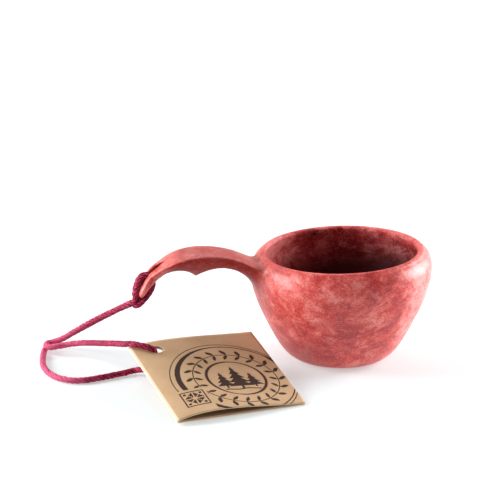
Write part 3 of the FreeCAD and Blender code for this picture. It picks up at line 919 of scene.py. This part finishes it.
def hand_shaped(points):
    """The bowl as moulded, a little off true: it leans away from the grip and its lip isn't level."""
    x, y, z = points.T
    bowl = np.where(x < 0, 1 - eased((np.hypot(x, y) - 44.0) / 12.0), 1.0)
    high = eased((z - 28.0) / 26.0) * bowl
    side = points[:, :2] @ LEAN_WAY / BOWL_REACH
    ahead = points[:, :2] @ LOW_WAY / BOWL_REACH
    shift = BOWL_SHIFT * bowl * (1 - side) + LIP_LEAN * high
    lift = high * (LIP_LIFT + LEAN_LIFT * side - LOW_DROP * ahead)
    return points + np.stack([shift * LEAN_WAY[0], shift * LEAN_WAY[1], lift], axis=1)


def upward(mesh):
    """How far each vertex looks up: 0 for level or down, 1 for steeply up."""
    normals = np.empty(3 * len(mesh.vertices))
    mesh.vertices.foreach_get("normal", normals)
    return eased((normals[2::3] - 0.25) / 0.4)


def build_cup():
    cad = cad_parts["cup"]
    cup = linked("cup_moulding", cad.data.copy())
    remesh = cup.modifiers.new("remesh", "REMESH")
    remesh.mode = "VOXEL"
    remesh.voxel_size = VOXEL * MM
    wrap = cup.modifiers.new("wrap", "SHRINKWRAP")
    wrap.target = cad
    wrap.wrap_method = "NEAREST_SURFACEPOINT"
    finish_modifiers(cup)
    mesh = cup.data
    points = coordinates(mesh) / MM
    points = relax(mesh, points, np.full(len(points), 0.5), SOFTENING_ROUNDS)
    points = relax(mesh, points, 0.6 * fillet_share(points), FILLET_ROUNDS)
    mesh.vertices.foreach_set("co", (hand_shaped(points) * MM).ravel())
    mesh.update()
    mesh.polygons.foreach_set("use_smooth", [True] * len(mesh.polygons))
    mark(mesh, "inside", "POINT", inside_share(points))
    # crown: how far each point faces up, which the material uses for the grip's painted shade
    mark(mesh, "crown", "POINT", upward(mesh))
    mesh.materials.clear()
    mesh.materials.append(moulding_material())
    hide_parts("cup")
    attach(cup, "cup")


build_cup()

# ---------------------------------------------------------------- the tag

INNER_INSET = (1.0, 0.5)  # how far the inner leaf's sides and ends keep inside the others'
LEAF_CELLS = (56, 44)
HOLE_SIDES = 40
PUNCH_DEPTH = 12.0
FOLD_CELLS = (14, 40)  # round the fold and along it


def mark_card(mesh):
    """Lays the sheet's coordinates on the mesh, and marks its front and its cut edges. Gives the edges."""
    local = (coordinates(mesh) / MM - TAG_CORNER) @ TAG_AXES
    lay_uv(mesh, "leaf", local[:, :2] / TAG_SIDE)
    normals = np.empty(3 * len(mesh.polygons))
    mesh.polygons.foreach_get("normal", normals)
    facing = normals.reshape(-1, 3) @ TAG_NORMAL
    cut = np.abs(facing) <= 0.3
    mark(mesh, "front", "FACE", facing > 0.3)
    mark(mesh, "cut", "FACE", cut)
    return cut


def punch_hole(leaf):
    punch = linked("punch", bpy.data.meshes.new("punch"))
    shape = bmesh.new()
    round_hole = {"radius1": HOLE_RADIUS * MM, "radius2": HOLE_RADIUS * MM, "segments": HOLE_SIDES}
    bmesh.ops.create_cone(shape, cap_ends=True, depth=PUNCH_DEPTH * MM, **round_hole)
    shape.to_mesh(punch.data)
    shape.free()
    punch.location = on_tag(*HOLE, 0.0)
    punch.rotation_euler = Vector(TAG_NORMAL).to_track_quat("Z", "Y").to_euler()
    bpy.context.view_layer.update()
    cut = leaf.modifiers.new("hole", "BOOLEAN")
    cut.operation = "DIFFERENCE"
    cut.solver = "EXACT"
    cut.object = punch
    finish_modifiers(leaf)
    bpy.data.objects.remove(punch)


def card_leaf(name, material, low, lift, inset=(0.0, 0.0)):
    """A punched leaf between two skins one thickness apart. The lower one is at low, plus its lift."""
    across, along = LEAF_CELLS
    left, near = inset
    right, far = TAG_SIDE - left, TAG_SIDE - near
    vertices, faces = [], []
    for level in (low, low + LEAF_THICKNESS):
        for j in range(along + 1):
            for i in range(across + 1):
                u = left + (right - left) * i / across
                v = near + (far - near) * j / along
                vertices.append(on_tag(u, v, level + lift(u, v)))
    row, skin = across + 1, (across + 1) * (along + 1)
    for j in range(along):
        for i in range(across):
            p = j * row + i
            faces.append((p, p + row, p + row + 1, p + 1))
            faces.append((skin + p, skin + p + 1, skin + p + row + 1, skin + p + row))
    rim = list(range(across)) + [j * row + across for j in range(along)]
    rim += [along * row + i for i in range(across, 0, -1)] + [j * row for j in range(along, 0, -1)]
    for p, q in zip(rim, rim[1:] + rim[:1]):
        faces.append((p, q, skin + q, skin + p))
    leaf = mesh_object(name, vertices, faces, material)
    punch_hole(leaf)
    leaf.data.polygons.foreach_set("use_smooth", ~mark_card(leaf.data))
    return leaf


def fold_strip(material):
    """The rounded spine that joins the cover to the back leaf."""
    outer = 0.5 * (3 * LEAF_THICKNESS + 2 * LEAF_GAP)
    arc, along = FOLD_CELLS
    vertices, faces = [], []
    for j in range(along + 1):
        v = TAG_SIDE * j / along
        for radius in (outer, outer - LEAF_THICKNESS):
            for i in range(arc + 1):
                angle = math.pi * (0.5 + i / arc)
                vertices.append(on_tag(radius * math.cos(angle), v, radius * math.sin(angle) - outer))
    row = arc + 1
    ring_size = 2 * row
    loop = list(range(row)) + list(range(ring_size - 1, row - 1, -1))
    for j in range(along):
        for p, q in zip(loop, loop[1:] + loop[:1]):
            a, b = j * ring_size + p, j * ring_size + q
            faces.append((a, a + ring_size, b + ring_size, b))
    faces.append(tuple(loop))
    faces.append(tuple(along * ring_size + p for p in loop)[::-1])
    strip = mesh_object("tag_fold", vertices, faces, material)
    mark_card(strip.data)
    return strip


def build_tag():
    printed, plain = card_material("kraft_printed", printed=True), card_material("kraft_plain")
    # painted shade: the inner leaf takes the darker copy of the kraft
    dark = card_material("kraft_inner_shaded", KRAFT_SHADED_INNER)
    step = LEAF_THICKNESS + LEAF_GAP
    cover = card_leaf("tag_cover", printed, -LEAF_THICKNESS, cover_lift)
    inner = card_leaf("tag_inner", dark, -LEAF_THICKNESS - step, pushed_up, INNER_INSET)
    back = card_leaf("tag_back", plain, -LEAF_THICKNESS - 2 * step, pushed_up)
    strip = fold_strip(plain)
    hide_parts("tag_cover_leaf")
    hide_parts("tag_inner_leaf")
    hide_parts("tag_back_leaf")
    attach(cover, "tag_cover")
    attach(inner, "cup")
    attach(back, "cup")
    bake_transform(strip)


build_tag()
